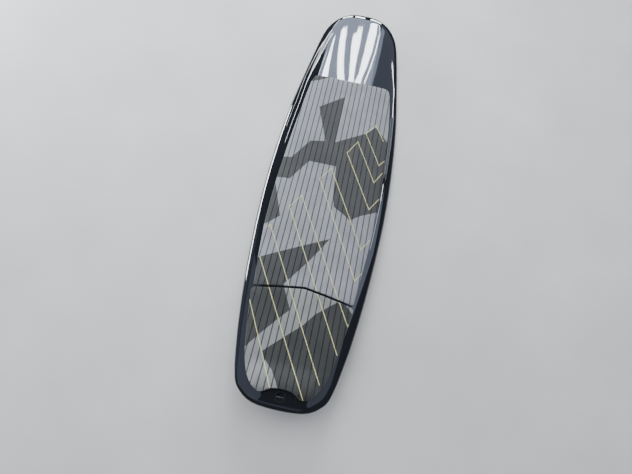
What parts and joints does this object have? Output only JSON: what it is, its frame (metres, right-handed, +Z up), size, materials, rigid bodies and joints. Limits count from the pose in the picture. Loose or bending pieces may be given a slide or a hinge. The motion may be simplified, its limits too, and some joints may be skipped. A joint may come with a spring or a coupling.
{
  "type": "kiteboard",
  "caption": "Directional strapless kiteboard with a wide blunt nose, a grooved two-piece foam deck pad with a tail kick, a leash plug and removable fins.",
  "frame": {"origin": "centre of the bounding box in plan, at the floor the board rests on", "axes": "+Y towards the nose, +X to the rider's right, +Z up; the board rests on its side fins and its belly, pitched 5.8 degrees nose down"},
  "size_m": [0.464, 1.6038, 0.1812],
  "materials": {
    "hull_laminate": "high-gloss, near-black navy clear-coated laminate",
    "core_foam": "fine beaded foam",
    "stringer_wood": "bare sawn wood",
    "front_pad_foam": "matt grooved foam, mid grey with darker grey areas",
    "tail_pad_foam": "matt grooved foam, mid grey with darker grey areas",
    "kick_foam": "matt dark foam",
    "black_plastic": "satin moulded black",
    "stainless": "plain turned steel",
    "dense_foam": "close-celled dense foam",
    "fin_laminate": "satin dark laminate"
  },
  "bodies": {
    "board": {"deck_skin": "hull_laminate", "bottom_skin": "hull_laminate", "core_left": "core_foam", "core_right": "core_foam", "stringer": "stringer_wood", "front_pad": "front_pad_foam", "tail_pad": "tail_pad_foam", "tail_kick_block": "kick_foam", "leash_plug_cup": "black_plastic", "leash_plug_pin": "stainless", "leash_plug_block": "dense_foam", "fin_block_left": "dense_foam", "fin_block_right": "dense_foam", "fin_block_rear": "dense_foam", "fin_box_left": "black_plastic", "fin_box_right": "black_plastic", "fin_box_rear": "black_plastic"},
    "left_fin": {"fin_left": "fin_laminate"},
    "right_fin": {"fin_right": "fin_laminate"},
    "rear_fin": {"fin_rear": "fin_laminate"},
    "left_screw": {"fin_screw_left": "stainless"},
    "right_screw": {"fin_screw_right": "stainless"},
    "rear_screw": {"fin_screw_rear": "stainless"}
  },
  "joints": [
    {"name": "left_fin_pull", "type": "slide", "parent": "board", "child": "left_fin", "axis": [-0.0871, -0.1681, -0.9819], "range_m": [0, 0.025]},
    {"name": "right_fin_pull", "type": "slide", "parent": "board", "child": "right_fin", "axis": [0.0871, -0.1681, -0.9819], "range_m": [0, 0.025]},
    {"name": "rear_fin_pull", "type": "slide", "parent": "board", "child": "rear_fin", "axis": [0, -0.2084, -0.978], "range_m": [0, 0.025]},
    {"name": "left_screw_turn", "type": "hinge", "parent": "board", "child": "left_screw", "pos_m": [-0.13549, -0.45427, 0.07254], "axis": [0, -0.1725, -0.985], "range_deg": [0, 1080]},
    {"name": "right_screw_turn", "type": "hinge", "parent": "board", "child": "right_screw", "pos_m": [0.13549, -0.45427, 0.07254], "axis": [0, -0.1725, -0.985], "range_deg": [0, 1080]},
    {"name": "rear_screw_turn", "type": "hinge", "parent": "board", "child": "rear_screw", "pos_m": [0, -0.59823, 0.0996], "axis": [0, -0.2084, -0.978], "range_deg": [0, 1080]}
  ]
}
